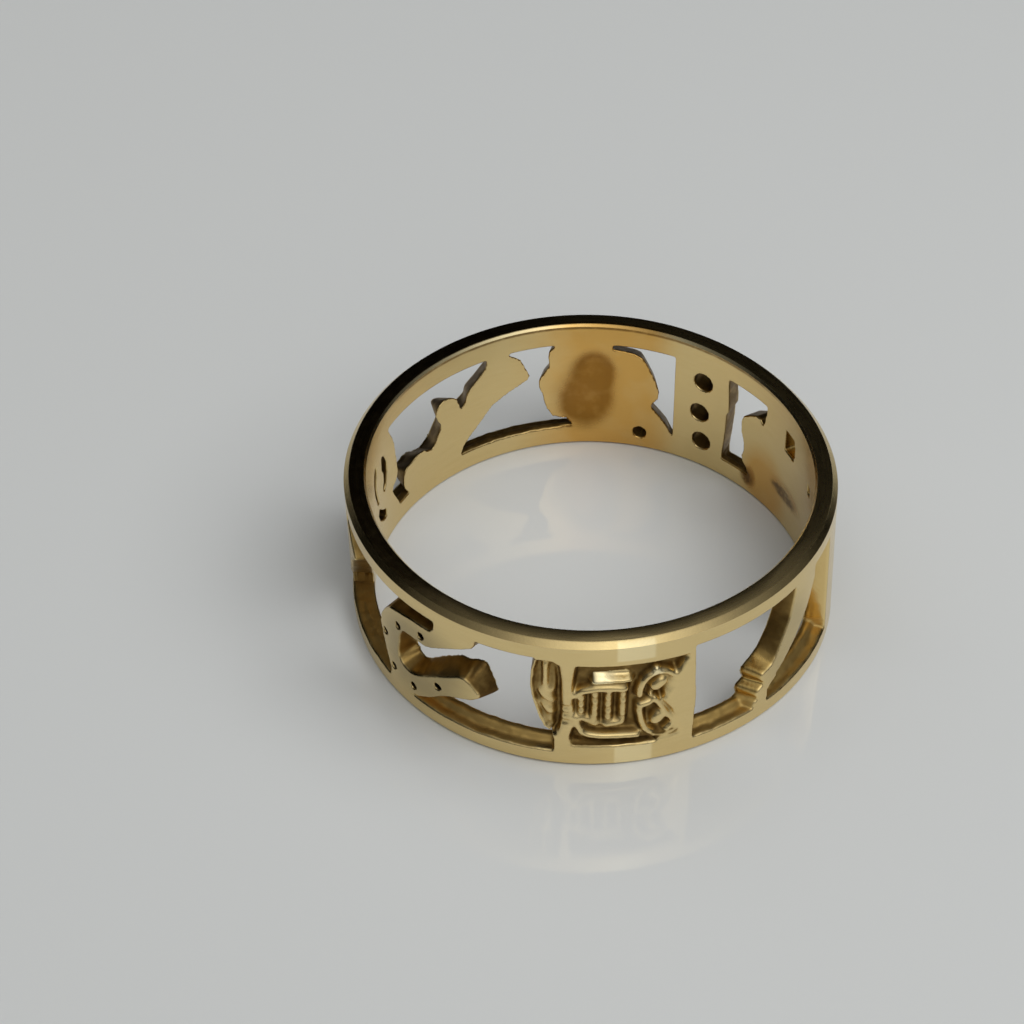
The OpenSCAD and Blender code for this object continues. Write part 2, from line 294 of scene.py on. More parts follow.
# %% Clover, domino, plate, sprig and medallion
clover = charm("clover", [
    [96.4, HIGH], [97.6, 5.35], [99.8, 5.1], [100, 4.75], [99.7, 4.3], [101.3, 3.95], [102.6, 3.6],
    [102.5, 3.25], [101.6, 2.9], [101, 2.4], [100, 1.95], [98.6, 1.58], [96.5, 1.42], [95, 1.38],
    [93.8, 1.15], [92.5, 0.85], [92, LOW], [65, LOW], [65.4, 1.1], [66.6, 1.5], [68.5, 1.87],
    [70, 2.12], [71.5, 2.4], [70.6, 2.62], [69.5, 2.87], [69.3, 3.25], [70.3, 3.75], [71.8, 4.25],
    [73, 4.62], [74.2, 4.88], [76.5, 5.05], [79.5, 5.12], [82.2, 5.15], [82.6, HIGH]],
    spread=0.45, from_inside=True)
domino = charm("domino", [
    [65.2, HIGH], [65.2, LOW], [50, LOW], [49.7, 1.1], [49.1, 2], [48.7, 2.8], [48.6, 3.45],
    [47.9, 3.6], [47.9, 4.1], [48.1, 4.6], [48.3, HIGH]],
    spread=[0.38, 0.38] + 9 * [0.18], from_inside=True)
plate = charm("plate", [
    [341.2, HIGH], [341, 3.7], [341, 2], [341.4, 1.05], [341.6, LOW], [399.6, LOW], [400, 0.95],
    [401, 1.3], [402.4, 1.5], [402.8, 1.8], [402.2, 2.1], [402.3, 2.6], [403.3, 3.1], [403.5, 3.6],
    [402.7, 3.95], [400.5, 4.2], [398, 4.42], [396, 4.42], [395.2, 4.2], [394.5, 4.45], [393.7, 5.1],
    [393.6, HIGH]], spread=0.16, from_inside=True)
sprig = charm("sprig", [
    [117.6, HIGH], [117.6, 5.25], [118.1, 4.95], [120.5, 4.55], [123.3, 4.15], [124.2, 3.95],
    [124.6, 3.65], [125.9, 3.4], [126.7, 3.8], [127.2, 4.05], [129, 4.25], [131.5, 4.33], [133.5, 4.2],
    [134.7, 3.98], [134.9, 3.7], [134.3, 3.4], [133.2, 3.15], [133.4, 2.92], [134.6, 2.65], [135.7, 2.35],
    [136.8, 2.2], [138.5, 2.3], [140, 2.45], [143, 2.5], [145.5, 2.38], [147.8, 2.36], [148.9, 2.25],
    [149.5, 2.05], [149.8, 1.62], [149.4, 1.35], [148.2, 1.08], [146.5, 0.85], [146.2, LOW],
    [126.4, LOW], [126.2, 1], [125, 1.38], [123.2, 1.68], [121, 2], [118, 2.5], [116, 2.85],
    [112, 3.22], [108.5, 3.5], [105.5, 3.75], [104.8, 3.95], [105.2, 4.1], [106.3, 4.5], [107.4, 4.9],
    [109, 5.1], [110.6, 5.25], [110.7, HIGH]], spread=0.5, from_inside=True)
medallion = charm("medallion", [
    [156.3, HIGH], [156, 5.2], [154.4, 4.77], [153.5, 4.34], [153.1, 3.87], [152.7, 3.3], [152.4, 2.7],
    [153.6, 2.35], [155.5, 2.2], [156, 2.05], [154.6, 1.66], [152.8, 1.15], [152.2, 0.8], [152, LOW],
    [180.3, LOW], [180.8, 0.8], [183, 1.2], [185.8, 1.68], [189.5, 2.5], [192, 3.2], [195, 3.75],
    [197.5, 4.02], [197.7, 4.2], [196, 4.45], [192.5, 4.85], [190, 5.2],
    [188.8, HIGH]], spread=0.12, from_inside=True)
for pip in [[56.5, 4.55], [57.3, 2.88], [56.4, 1.38]]:
    drill(domino, *pip, diameter=0.86, wide=OUTER / INNER)
EYE = (74.5, 0.84, 0.58)
drill(clover, *EYE, wide=OUTER / INNER)
saw(plate, [[384.7, 5.2], [384.9, 4.12], [379.8, 4.1], [379.4, 4.4], [379.2, 4.8], [379.6, 5.18]], 0.05)
saw(plate, [[365.8, 4.4], [368.6, 4.44], [368.4, 3.96], [366, 3.98]], 0.05)
SLOTS = [
    [[161.9, 4.55], [160.1, 4.4], [158.6, 3.95], [158.8, 3.5], [159.8, 2.95], [161.4, 2.7], [162, 2.9],
     [161, 3.4], [161.1, 3.7], [162.2, 3.95]],
    [[167, 4.75], [166.3, 4.45], [167.1, 4.04], [167.7, 3.6], [166.5, 2.9], [165.9, 2.6], [167.5, 2.8],
     [169.1, 3.6], [169.3, 4.07], [168.3, 4.5]],
    [[166.2, 2.35], [163.5, 1.95], [160.6, 1.66], [161, 1.32], [163.2, 1.4], [165.6, 1.68], [167, 2.1]]]
for slot in SLOTS:
    saw(medallion, slot, 0.06)
charms = [horseshoe, wand, clover, domino, plate, sprig, medallion]
for piece in charms:
    slices(piece)
    bend(piece)
    print(piece.name, len(piece.data.polygons), "faces")

# %% [markdown]
# ## The relief panel
# At the front the wall is closed and carries low relief: a leaf, a waisted post, a ribbed barrel and a
# ribbon tied in a loop, on a ground that lies almost half the wall deep. Relief of this kind is a height
# drawn over a surface, so it starts as a fine grid. Each form is a stroke with a rounded section, laid
# along a line of points, and at each place the highest form wins. Sculpting with a brush would give the
# same, but not the same each time.

# %% Strokes of relief
GROUND = 0.44
DEEPEST = 0.62
# farther than any distance on the band
FAR = 9.0


def along(points, angle, height):
    """Distance in millimetres from each place of the grid to a line through points."""
    line = np.array(points, dtype=float) * (PER_DEGREE, 1)
    x, y = angle * PER_DEGREE, height
    if len(line) == 1:
        return np.hypot(x - line[0, 0], y - line[0, 1])
    nearest = np.full(x.shape, FAR)
    for (ax, ay), (bx, by) in zip(line[:-1], line[1:]):
        dx, dy = bx - ax, by - ay
        share = np.clip(((x - ax) * dx + (y - ay) * dy) / (dx * dx + dy * dy), 0, 1)
        nearest = np.minimum(nearest, np.hypot(x - ax - share * dx, y - ay - share * dy))
    return nearest


def stroke(points, half_width, under, angle, height, flat):
    """Depth of a rounded band: under at its middle, falling to the ground at its edge."""
    away = along(points, angle, height) / half_width
    shoulder = np.clip((away - flat) / (1 - flat), 0, 1)
    return under + (GROUND - under) * shoulder ** 2.5 + FAR * (away > 1)


def inside_of(outline, angle, height):
    """Signed distance to a closed outline, positive inside."""
    line = np.array(outline, dtype=float) * (PER_DEGREE, 1)
    x, y = angle * PER_DEGREE, height
    within = np.zeros(x.shape, dtype=bool)
    for (ax, ay), (bx, by) in zip(line, np.roll(line, -1, axis=0)):
        if ay != by:
            within ^= ((ay > y) != (by > y)) & (x < (bx - ax) * (y - ay) / (by - ay) + ax)
    away = along(list(outline) + [outline[0]], angle, height)
    return np.where(within, away, -away)


# %% [markdown]
# The ground has the outline of the free space between the post and the plain corner. Its walls fall over a
# tenth of a millimetre, as in a worn casting.

# %% The depth at each place of the panel
GROUND_LINE = [
    [265.8, 5.27], [265.4, 4.8], [265.1, 4.34], [265, 3.7], [265.1, 3.2], [265.3, 2.8], [265.5, 2.4],
    [265.2, 1.9], [264.6, 1.4], [264.3, 1.1], [266, 0.98], [272.9, 0.98], [280, 1.03], [286, 1.06],
    [290.6, 1.1], [290, 1.6], [288.3, 2.5], [286.1, 3.09], [288.3, 3.67], [289.1, 4.32], [290, 4.5],
    [291.2, 4.9], [292.6, 5.2]]
LEAF_LINE = [
    [257.5, 5.42], [256.7, 4.81], [256.5, 4.05], [257, 3.47], [257.8, 2.9], [258.7, 2.41], [259.6, 2.05],
    [260.6, 1.9], [261.4, 2.06], [261.9, 2.4], [262, 2.85], [261.9, 3.44], [261.9, 4.3], [261.7, 4.87],
    [261, 5.4]]
STROKES = [
    # points along the stroke, half width, depth of its top, flat share of its width
    ([[265.9, 3.62], [267.4, 3.86], [270.3, 3.98], [273.8, 3.98], [277, 3.9]], 0.24, 0.05, 0.15),
    ([[266.1, 2.5], [266.5, 2.1], [267.5, 1.72], [269, 1.58], [271.8, 1.5], [276.6, 1.46], [280.3, 1.42]],
     0.2, 0.02, 0.15),
    ([[268.4, 2.36], [270.6, 2.14]], 0.27, 0.1, 0),
    ([[273, 2.08], [276.3, 2.16]], 0.27, 0.08, 0),
    ([[280.4, 3.5], [280.6, 3.85], [281.3, 4.2], [282.6, 4.46], [284.5, 4.6], [286.6, 4.52], [288.4, 4.25]],
     0.22, 0.02, 0.05),
    ([[280.5, 2.7], [280.9, 2.2], [281.9, 1.66], [283.8, 1.34], [286.4, 1.24], [288.7, 1.36],
     [289.6, 1.52]], 0.21, 0.03, 0.05),
    ([[286.8, 1.46], [289.3, 1.76]], 0.17, 0.02, 0.1),
    ([[284, 3.2], [286.4, 2.45], [288.9, 1.7]], 0.18, 0.04, 0.1),
    ([[286.8, 3.4], [288.3, 4.1]], 0.17, 0.08, 0),
    ([[280.7, 2.94], [282.7, 3.02]], 0.25, 0.05, 0.1),
    ([[284.3, 3.82], [285.6, 4.02]], 0.34, 0.05, 0.25),
    ([[284.6, 2.02], [285.3, 2.2]], 0.35, 0.05, 0.25),
    ([[284.2, 4.72]], 0.24, 0.02, 0.1),
    ([[283, 3.42]], 0.16, 0, 0)]
GROOVES = [
    # points along the groove, half width, depth
    ([[265.8, 1.36], [267.6, 1.32], [271, 1.24], [275, 1.2], [280.1, 1.15], [284, 1.09]], 0.06, 0.5),
    ([[261.6, 5.15], [262.1, 4.4], [262.25, 3.6], [262.3, 2.8], [262.2, 2.3], [261.8, 1.9],
     [261.2, 1.7]], 0.09, 0.42)]


def soft(value, start, end):
    """0 below start and 1 above end, with a soft step between."""
    share = np.clip((value - start) / (end - start), 0, 1)
    return share * share * (3 - 2 * share)


def between(value, start, full, end, fade):
    """Rises softly to 1 from start to full, and falls to 0 over the fade before end."""
    return soft(value, start, full) * soft(end - value, 0, fade)


def noise_at(x, y, z):
    """A smooth random number for each place, the same in every run."""
    return np.array([noise.noise(Vector(place)) for place in zip(x, y, z)])


def panel_depth(angle, height):
    wobble = noise_at(angle * 0.9, height * 5.5, np.full(len(angle), 3.1))
    # the ground rises towards the bottom rail
    share = np.clip((height - 1.28) / 0.2, 0, 1)
    ground = (0.1 + (GROUND - 0.1) * share) * soft(inside_of(GROUND_LINE, angle, height), 0, 0.16)
    forms = np.full(len(angle), FAR)
    for line, half_width, under, flat in STROKES:
        forms = np.minimum(forms, stroke(line, half_width, under, angle, height, flat))
    # the four beaded ribs of the barrel
    for rib in (267.3, 270.4, 273.4, 276.7):
        beads = 0.04 * np.sin(height * 2 * math.pi / 0.34 + rib) + 0.05 * wobble
        forms = np.minimum(forms, stroke([[rib, 3.75], [rib, 2.4]], 0.21, 0.09, angle, height, 0) + beads)
    # the roll above the barrel: a flank that leans back from its crest, more so towards the right
    rise = height - 4.28
    past_end = np.maximum(np.abs(angle - 274.2) - 4.4, 0) * PER_DEGREE
    lean = (1 + 0.9 * soft(angle, 272, 275.5)) * (0.7 + 1.2 * rise)
    flank = 0.05 + np.where(rise > 0, lean * rise, -2.5 * rise) + 1.6 * past_end
    forms = np.where(rise < 0.35, np.minimum(forms, flank), forms)
    depth = np.minimum(ground, np.maximum(forms, 0.0))
    # the leaf: a ridge between two hollows in its upper half and slanted pads below
    leaf = inside_of(LEAF_LINE, angle, height)
    blade = 0.04 + 0.24 * np.exp(-(np.maximum(leaf, 0) / 0.15) ** 2)
    upper = between(height, 3.7, 4.2, 5.4, 0.3)
    blade += 0.26 * upper * np.exp(-((np.abs(angle - 259.2) - 1.15) / 0.6) ** 2)
    pads = np.sin((height + 0.13 * (angle - 259)) * 2 * math.pi / 0.62)
    blade += 0.06 * (1 + pads) * soft(3.9 - height, 0, 0.3)
    on_leaf = (leaf > 0) & (height < 5.38)
    depth = np.where(on_leaf, np.maximum(depth, blade), depth)
    for line, half_width, deep in GROOVES:
        groove = np.clip(1.6 - along(line, angle, height) / half_width, 0, 1)
        depth = np.maximum(depth, deep * groove)
    # three beads round the waist of the post
    waist = between(angle, 262.2, 263.3, 265.6, 1.1) * between(height, 1.9, 2.2, 3.35, 0.3)
    depth += waist * (0.03 + 0.055 * (1 + np.sin(height * 2 * math.pi / 0.38 + 1)))
    rough = 0.03 * wobble * np.clip(depth / 0.1, 0, 1)
    return np.clip(depth + rough, 0, DEEPEST)


def worn(depth, times):
    """Blurs the depths of the grid a little, as polishing does to a relief."""
    for _ in range(times):
        for axis in (0, 1):
            depth = 0.5 * depth + 0.25 * (np.roll(depth, 1, axis) + np.roll(depth, -1, axis))
    return depth


# %% [markdown]
# The grid is raised by that depth, extruded to the inside of the wall, bent, and trimmed by the panel's own
# outline with a Boolean, because a grid is square and the leaf's edge is round.

# %% Raise and close the panel
COLUMNS, ROWS = ((196, 164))
FROM, TO = 255.0, 294.5
GRID_LOW, GRID_HIGH = 0.5, 5.9
bpy.ops.mesh.primitive_grid_add(x_subdivisions=COLUMNS, y_subdivisions=ROWS, size=2)
relief = bpy.context.object
relief.name = "relief"
grid = points_of(relief)
angle = FROM + (grid[:, 0] + 1) / 2 * (TO - FROM)
height = GRID_LOW + (grid[:, 1] + 1) / 2 * (GRID_HIGH - GRID_LOW)
deep = panel_depth(angle, height)
order = np.lexsort((angle.round(4), height.round(4)))
rows = deep[order].reshape(ROWS + 1, COLUMNS + 1)
deep[order] = worn(rows, 3).ravel()
set_points(relief, np.column_stack([angle * PER_DEGREE, height, -deep]))
edit(relief)
bpy.ops.mesh.extrude_region_move()
bpy.ops.object.mode_set(mode="OBJECT")
points = points_of(relief)
chosen = values_of(relief.data.vertices, "select", 1, bool).ravel()
points[chosen, 2] = -WALL
set_points(relief, points)
clean(relief)
bend(relief)
print("relief grid", len(relief.data.vertices), "points")

# %% Trim it with the panel's outline
trim = charm("trim", [
    [258, 6.2], [257.2, 5.4], [256.4, 4.8], [256.2, 4.05], [256.7, 3.45], [257.5, 2.88], [258.4, 2.38],
    [259.4, 2], [260.9, 1.8], [261.7, 1.3], [261.8, 0.2], [293.1, 0.2], [293.2, 1], [293.5, 2.1],
    [293.7, 2.9], [293.4, 3.8], [293.3, 4.6], [292.9, 6.2]], spread=[0.1] + 9 * [0.22] + 8 * [0.1])
through(trim)
slices(trim)
bend(trim)
cut(relief, trim, "INTERSECT")
print("panel", len(relief.data.vertices), "points")

# %% [markdown]
# ## The rails
# Each rail is one profile turned round the axis, which is what the spin operator does. The bottom rail
# carries a raised lip along its inside, where the goldsmith's file didn't reach between the charms.

# %% Spin both rails
TURNS = 240


def rail(name, profile):
    bpy.ops.mesh.primitive_circle_add(vertices=len(profile), radius=1, fill_type="NOTHING")
    hoop = bpy.context.object
    hoop.name = name
    set_points(hoop, [(radius, 0, z) for radius, z in profile])
    edit(hoop)
    bpy.ops.mesh.spin(steps=TURNS, angle=2 * math.pi, center=(0, 0, 0), axis=(0, 0, 1))
    bpy.ops.object.mode_set(mode="OBJECT")
    clean(hoop, merge=0.001)
    return hoop


TOP_EDGE = [[OUTER, HEIGHT - 0.23], [OUTER - 0.21, HEIGHT], [INNER + 0.09, HEIGHT], [INNER, HEIGHT - 0.1]]
top_rail = rail("top_rail", [
    [INNER, 5.37], [INNER + 0.08, 5.32], [OUTER - 0.1, 5.46], [OUTER, 5.56], *TOP_EDGE])
bottom_rail = rail("bottom_rail", [
    [INNER, 0.1], [INNER + 0.1, 0], [OUTER - 0.1, 0], [OUTER, 0.1], [OUTER, 0.67], [OUTER - 0.04, 0.71],
    [INNER + 0.46, 0.73], [INNER + 0.38, 0.86], [INNER + 0.3, 0.98], [INNER + 0.07, 0.98], [INNER, 0.9]])
eye_angle, eye_height, eye_across = EYE
eye_turn = math.radians(eye_angle)
bpy.ops.mesh.primitive_cylinder_add(
    vertices=24, radius=eye_across / 2, depth=3, rotation=(0, math.radians(90), eye_turn),
    location=(OUTER * math.cos(eye_turn), OUTER * math.sin(eye_turn), eye_height))
cut(bottom_rail, bpy.context.object)
print("rails", len(top_rail.data.vertices) + len(bottom_rail.data.vertices), "points")

# %% [markdown]
# ## One casting
# The pieces overlap like clay pressed together. A voxel remesh turns them into one closed skin, with a small
# fillet in every corner and every edge softened, which is just what casting and polishing do to a wax model.
# Unions of exact solids would leave razor-sharp corners that no worn ring has.

# %% Join and remesh
VOXEL = 0.045
only(top_rail)
for piece in charms + [bottom_rail, relief]:
    piece.select_set(True)
bpy.ops.object.join()
ring = bpy.context.object
ring.name = "cast_ring"
apply_modifier(ring, "REMESH", mode="VOXEL", voxel_size=VOXEL)
apply_modifier(ring, "SMOOTH", factor=0.5, iterations=5)
print("casting", len(ring.data.vertices), "points at", VOXEL, "mm")

# %% [markdown]
# ## Sculpting
# What a sculptor would do with brushes is done here as small moves of the points. The first moves bring the
# two walls and the top edge back to their true sections, which the remesh has softened. In code this is
# surer than with a brush, and the corners of the top edge stay sharp lines.

# %% Where the points lie on the band
def around(points):
    """Distance from the axis, direction away from it, angle in degrees and height of each place."""
    radius = np.hypot(points[:, 0], points[:, 1])
    angle = np.degrees(np.arctan2(points[:, 1], points[:, 0])) % 360
    return radius, points[:, :2] / radius[:, None], angle, points[:, 2]


points = points_of(ring)
normals = values_of(ring.data.vertices, "normal", 3)
radius, away, angle, height = around(points)
print("points from", radius.min().round(3), "to", radius.max().round(3), "mm out")

# %% True walls and a true top edge
WALLS = ((OUTER, 1), (INNER, -1))
CROWN_FROM = 6.05


def onto(start, end, here):
    """Direction of a straight run, the places on it nearest to here, and their distances."""
    run = (end - start) / np.linalg.norm(end - start)
    share = np.clip((here - start) @ run, 0, np.linalg.norm(end - start))
    place = start + share[:, None] * run
    return run, place, np.linalg.norm(place - here, axis=1)


facing = (normals[:, :2] * away).sum(axis=1)
new_radius = radius.copy()
for wall_radius, side in WALLS:
    new_radius[(np.abs(radius - wall_radius) < 0.02) & (side * facing > 0.97)] = wall_radius
profile = np.array([[INNER, 6], *TOP_EDGE[::-1], [OUTER, 6]])
crown = np.flatnonzero(height > CROWN_FROM)
here = np.column_stack([radius[crown], height[crown]])
nearest = np.full(len(crown), FAR)
settled = np.zeros((len(crown), 2))
for start, end in zip(profile[:-1], profile[1:]):
    _, place, gap = onto(start, end, here)
    settled[gap < nearest] = place[gap < nearest]
    nearest = np.minimum(nearest, gap)
for corner in profile[1:-1]:
    settled[np.linalg.norm(settled - corner, axis=1) < 0.7 * VOXEL] = corner
new_radius[crown] = settled[:, 0]
points[crown, 2] = settled[:, 1]
print(len(crown), "points settled on the top edge")

# %% [markdown]
# Then the clover gets its hollow from behind, and the low ledges, which no polishing wheel reaches, keep
# the rough skin of the casting. Points that have come to lie in one place are merged.

# %% The hollow and the rough ledges
HOLLOW = 0.26
LIP_TOP = 0.76


def skin(points, scale, seed):
    x, y, z = (points * scale).T
    return noise_at(x, y, z + seed)


def behind_clover(angle, height):
    """The hollow behind the clover as a share of its depth: two round bumps run together."""
    kept = np.ones(len(angle))
    for a, z, half_a, half_z in ((89.4, 2.33, 7.6, 1.46), (87.3, 3.8, 5.8, 1.1)):
        kept *= 1 - np.exp(-np.hypot((angle - a) / half_a, (height - z) / half_z) ** 3.2)
    return 1 - kept


new_radius += np.where(radius < INNER + 0.06, HOLLOW * behind_clover(angle, height), 0)
grain = skin(points, 2.2, 0) + 0.6 * skin(points, 5.5, 7)
ledge = (np.abs(normals[:, 2]) > 0.45) & (height > 0.6) & (height < 5.6) & (radius < OUTER - 0.03)
lip = (height > 0.5) & (height < 1.3) & (radius < OUTER - 0.04) & (angle > 181) & (angle < 212)
points[lip, 2] = np.minimum(points[lip, 2], LIP_TOP)
points[:, 2] += np.where(ledge, 0.035 * grain * soft(1.4 - height, 0, 0.2), 0)
new_radius += 0.005 * skin(points, 0.55, 3) * soft(height, 0.05, 0.6)
points[:, :2] = away * new_radius[:, None]
points[:, 2] = np.clip(points[:, 2], 0, HEIGHT)
set_points(ring, points)
clean(ring, merge=0.002)
print(int(ledge.sum()), "points on rough ledges")

# %% [markdown]
# ## Fewer triangles
# The remesh spends as many faces on a plain wall as on the relief. Decimate takes them away where the
# surface is flat, so that the file stays small and the relief keeps its detail. But it leaves long thin
# triangles, which a polished metal would show as streaks. So the directions in which the dense skin faces
# are kept first.

# %% Keep the directions of the dense skin
dense_points = points_of(ring)
dense_normals = values_of(ring.data.vertices, "normal", 3)
first, second = values_of(ring.data.edges, "vertices", 2, int).T
for _ in range(4):
    total = dense_normals.copy()
    for axis in range(3):
        total[:, axis] += np.bincount(first, dense_normals[second, axis], len(total))
        total[:, axis] += np.bincount(second, dense_normals[first, axis], len(total))
    dense_normals = total / np.linalg.norm(total, axis=1)[:, None]
finder = kdtree.KDTree(len(dense_points))
for k, place in enumerate(dense_points):
    finder.insert(place, k)
finder.balance()
print("kept", len(dense_points), "directions")

# %% Thin out the mesh
MOST = 190000
triangles = 2 * len(ring.data.polygons)
apply_modifier(ring, "DECIMATE", decimate_type="COLLAPSE", ratio=min(1, MOST / triangles))
apply_modifier(ring, "TRIANGULATE")
bpy.ops.object.shade_smooth()
print("ring", len(ring.data.polygons), "triangles")

# %% [markdown]
# Each corner of a triangle now takes the kept direction that is nearest to it, which is what the Data
# Transfer modifier does by hand. Where that direction is far from the triangle's own, there is an edge, and
# the triangle keeps its own. On the two round walls and on the top edge the direction is known exactly.

# %% Hand the directions to the thinned mesh
def per_triangle(measure, values):
    """One measure of the three corners of each triangle, repeated for each of them."""
    return measure(values.reshape(-1, 3), axis=1).repeat(3)


points = points_of(ring)
near = np.array([finder.find(place)[1] for place in points])
corner = values_of(ring.data.loops, "vertex_index", 1, int).ravel()
own = np.repeat(values_of(ring.data.polygons, "normal", 3), 3, axis=0)
smooth = dense_normals[near][corner]
smooth = np.where(((smooth * own).sum(axis=1) > 0.77)[:, None], smooth, own)
radius, away, _, height = around(points[corner])
outward = (own[:, :2] * away).sum(axis=1)
for wall_radius, side in WALLS:
    flush = per_triangle(np.all, np.abs(radius - wall_radius) < 0.012) & (side * outward > 0.9)
    smooth[flush] = np.column_stack([side * away, np.zeros(len(away))])[flush]
print("corners", len(corner))

# %% The same for the top edge
middle = np.column_stack([per_triangle(np.mean, radius), per_triangle(np.mean, height)])
on_crown = np.flatnonzero(middle[:, 1] > CROWN_FROM)
level = per_triangle(np.all, height > HEIGHT - 0.003)[on_crown]
nearest = np.full(len(on_crown), FAR)
for start, end in zip(profile[:-1], profile[1:]):
    run, _, gap = onto(start, end, middle[on_crown])
    # a run that the triangle faces away from counts as farther off
    gap += 0.3 * (1 + outward[on_crown] * run[1] - own[on_crown, 2] * run[0])
    gap[level] = 0 if run[1] == 0 else FAR
    chosen = on_crown[gap < nearest]
    nearest = np.minimum(nearest, gap)
    # the level face leans out a little towards its outer edge, more at the front
    front = soft(-away[chosen, 1], 0, 0.8)
    lean_out = (0.08 + 0.31 * front) * soft(radius[chosen], INNER + 0.1, OUTER - 0.25) * (run[1] == 0)
    sideways = away[chosen] * (lean_out - run[1])[:, None]
    smooth[chosen] = np.column_stack([sideways, np.full(len(chosen), run[0])])
smooth /= np.linalg.norm(smooth, axis=1)[:, None]
ring.data.normals_split_custom_set(smooth.tolist())
print("corners on the top edge", len(on_crown))

# %% [markdown]
# ## Where the metal changed, and where shade is painted
# A ring shows its history: its gaps and its relief hold dirt, and the hollow behind the clover is stained.
# The gaps and the relief also lie in shade, which is painted in with the dirt. So every point of the mesh
# gets
# three numbers: where it lies between the inside and the outside of the wall, how deep in the hollow, and how
# much dirt and painted shade its place gets. They are worked out from the place of the point alone, because
# numbers read from the facing or the curvature of long thin triangles would show as streaks.
# Painting them by hand as vertex colours would work too, but in code they follow the shape whenever it
# changes.

# %% Masks that the material reads
def put(name, values):
    layer = ring.data.attributes.new(name, "FLOAT", "POINT")
    layer.data.foreach_set("value", np.clip(values, 0, 1).astype(np.float32))


radius, away, angle, height = around(points_of(ring))
depth = OUTER - radius
hollow = behind_clover(angle, height) * soft(INNER + 0.4 - radius, 0, 0.1)
in_relief = between(angle, 256, 258, 293.5, 1)
shallow = np.interp(depth, [0, 0.07, 0.2, 0.36, WALL], [1, 0.975, 0.92, 0.86, 0])
wall = in_relief * shallow + (1 - in_relief) * (1 - depth / WALL)
# the roll above the barrel counts as outside, so that its painted highlight stays clean gold;
# the trough under it counts as deeper, for painted shade
on_roll = between(angle, 269, 270, 279.5, 1.5) * between(height, 4.22, 4.3, 4.72, 0.1)
wall = np.maximum(wall, 0.99 * on_roll * soft(0.6 - depth, 0, 0.1))
in_trough = between(angle, 264, 266, 291, 3) * between(height, 0.99, 1.05, 1.5, 0.1)
wall -= 0.14 * in_trough * soft(depth, 0.03, 0.08)
put("wall", wall - HOLLOW / WALL * hollow)
put("hollow", soft(hollow, 0.15, 0.75))
print("points in the hollow", int((hollow > 0.5).sum()))

# %% The mask of the dirt and the painted shade
# the share at each angle is of dirt and painted shade together
DIRT_AND_SHADE = [  # angle, share of dirt
    [0, 0.2], [30, 0.3], [42, 0.95], [162, 0.95], [170, 0.7], [200, 0.65], [250, 0.65],
    [256, 0.88], [294, 0.88], [302, 0.75], [332, 0.75], [338, 0.05], [360, 0.2]]
dirt_and_shade = np.interp(angle, *zip(*DIRT_AND_SHADE))
# less round the foot of the wand
dirt_and_shade *= np.where((angle > 296) & (angle < 337), 0.15 + 0.85 * soft(height, 2.3, 3), 1)
# more under the top rail at the left front, as painted shadow
dirt_and_shade = np.maximum(dirt_and_shade, 0.9 * between(angle, 200, 206, 236, 4) * soft(height, 4.6, 4.9))
# hardly any dirt or painted shade on the ledge of the bottom rail at the front
dirt_and_shade *= 1 - 0.85 * soft(1.35 - height, 0, 0.25) * soft(angle, 180, 190)
# most round the end of the horseshoe's arm, above the relief and in its trough: mostly painted shade, with
# some dirt
arm_end = np.clip(1 - np.hypot((angle - 244) / 6, (height - 3) / 1.4), 0, 1)
dirt_and_shade = np.maximum(dirt_and_shade, 0.95 * soft(arm_end, 0, 0.5))
under_rails = np.maximum(soft(height, 4.2, 4.6), in_trough)
dirt_and_shade = np.maximum(dirt_and_shade, between(angle, 263, 265, 294, 2) * under_rails)
put("dirt_and_shade", dirt_and_shade)
print("mean dirt", dirt_and_shade.mean().round(2))

# %% [markdown]
# ## Not quite round
# Years on a finger have pressed the ring a little out of round, and its bottom rim sits a fifth of a
# millimetre further to the right than its top rim. Both were read from the outline in the photo.

# %% Press it out of round, then scale to metres
PRESSED = {2: (-0.0058, 0.0022), 3: (0.0030, -0.0005), 4: (0.0018, -0.0023)}
LEAN = 0.18
turn = np.radians(angle)
change = LEAN * np.cos(turn) * (1 - height / HEIGHT)
for waves, (along_x, along_y) in PRESSED.items():
    change += radius * (along_x * np.cos(waves * turn) + along_y * np.sin(waves * turn))
set_points(ring, np.column_stack([away * (radius + change)[:, None], height]))
ring.scale = 3 * [1 / PER_METRE]
only(ring)
bpy.ops.object.transform_apply()
print("pressed by", change.min().round(3), "to", change.max().round(3), "mm")

# %% [markdown]
# ## The finish of the gold
# Nearly all that the eye sees in polished gold is the surroundings, tinted. So the base colour is light,
# metallic is 1, and the finish lives in the roughness and in a very fine bump. What the material needs more
# than once is built as a node group. The first two are patterns: a skin of fine streaks that run round the
# ring with a grain over them, and a mask broken up into patches.

# %% Nodes and node groups
def feed(tree, node, inputs):
    """Feeds inputs by name or number: links a socket, or writes a value on the input itself."""
    for key, given in inputs.items():
        if isinstance(given, bpy.types.NodeSocket):
            tree.links.new(given, node.inputs[key])
        else:
            node.inputs[key].default_value = given


def add_node(tree, kind, inputs, **settings):
    """Adds a node, sets its options, feeds its inputs and returns its outputs."""
    node = tree.nodes.new("ShaderNode" + kind)
    for name, value in settings.items():
        setattr(node, name, value)
    feed(tree, node, inputs)
    return node.outputs


